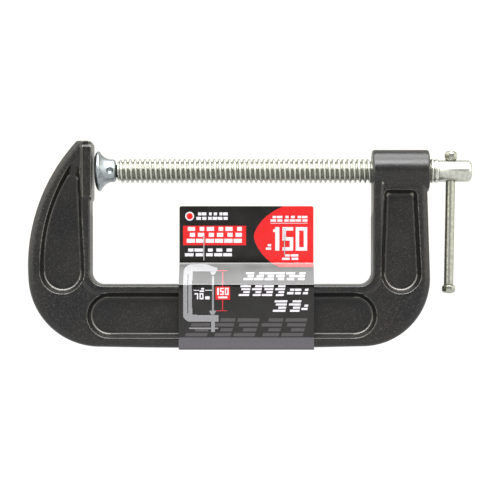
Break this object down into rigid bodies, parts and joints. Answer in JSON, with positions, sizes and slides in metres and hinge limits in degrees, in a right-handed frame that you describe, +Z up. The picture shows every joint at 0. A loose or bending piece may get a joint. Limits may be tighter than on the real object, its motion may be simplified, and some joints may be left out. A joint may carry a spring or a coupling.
{
  "type": "c clamp",
  "caption": "Cast C-shaped clamp with a threaded screw, sliding T-bar, swivel pad and a printed card sleeve stapled round its spine.",
  "frame": {"origin": "on the surface the clamp stands on, under the middle of its bounding box", "axes": "+X along the screw from the fixed jaw to the T-bar, +Y across the casting's thickness, away from the printed front, +Z up from the spine to the screw"},
  "size_m": [0.2684, 0.0258, 0.1259],
  "materials": {
    "cast_frame": "black baked enamel over a fine cast texture, semi-gloss",
    "plated_steel": "zinc plated, faintly yellow, satin",
    "plated_bar": "zinc plated, faintly yellow, satin",
    "plated_pad": "bright bluish zinc plate",
    "bearing_steel": "polished hardened steel",
    "printed_card": "laminated printed card, black with a red panel and grey edges",
    "staple_wire": "galvanised wire"
  },
  "bodies": {
    "frame": {"frame": "cast_frame"},
    "thrust_ball": {"thrust_ball": "bearing_steel"},
    "screw": {"screw": "plated_steel"},
    "swivel_pad": {"swivel_pad": "plated_pad"},
    "t_bar": {"t_bar": "plated_bar"},
    "sleeve": {"card_sleeve": "printed_card", "staple_left": "staple_wire", "staple_right": "staple_wire"}
  },
  "joints": [
    {"name": "screw_travel", "type": "slide", "parent": "frame", "child": "thrust_ball", "axis": [1, 0, 0], "range_m": [0, 0.1501]},
    {"name": "screw_turn", "type": "hinge", "parent": "thrust_ball", "child": "screw", "pos_m": [0, 0, 0.1079], "axis": [1, 0, 0], "range_deg": [0, 18000]},
    {"name": "pad_tilt", "type": "hinge", "parent": "thrust_ball", "child": "swivel_pad", "pos_m": [-0.0887, 0, 0.1079], "axis": [0, -1, 0], "range_deg": [-7, 3]},
    {"name": "bar_slide", "type": "slide", "parent": "screw", "child": "t_bar", "axis": [0.0183, 0, 0.9998], "range_m": [0, 0.0625]},
    {"name": "sleeve_slide", "type": "slide", "parent": "frame", "child": "sleeve", "axis": [1, 0, 0], "range_m": [-0.044, 0.026]}
  ],
  "couplings": [
    {"joint": "screw_travel", "follows": "screw_turn", "m_per_rad": 0.00047746}
  ]
}
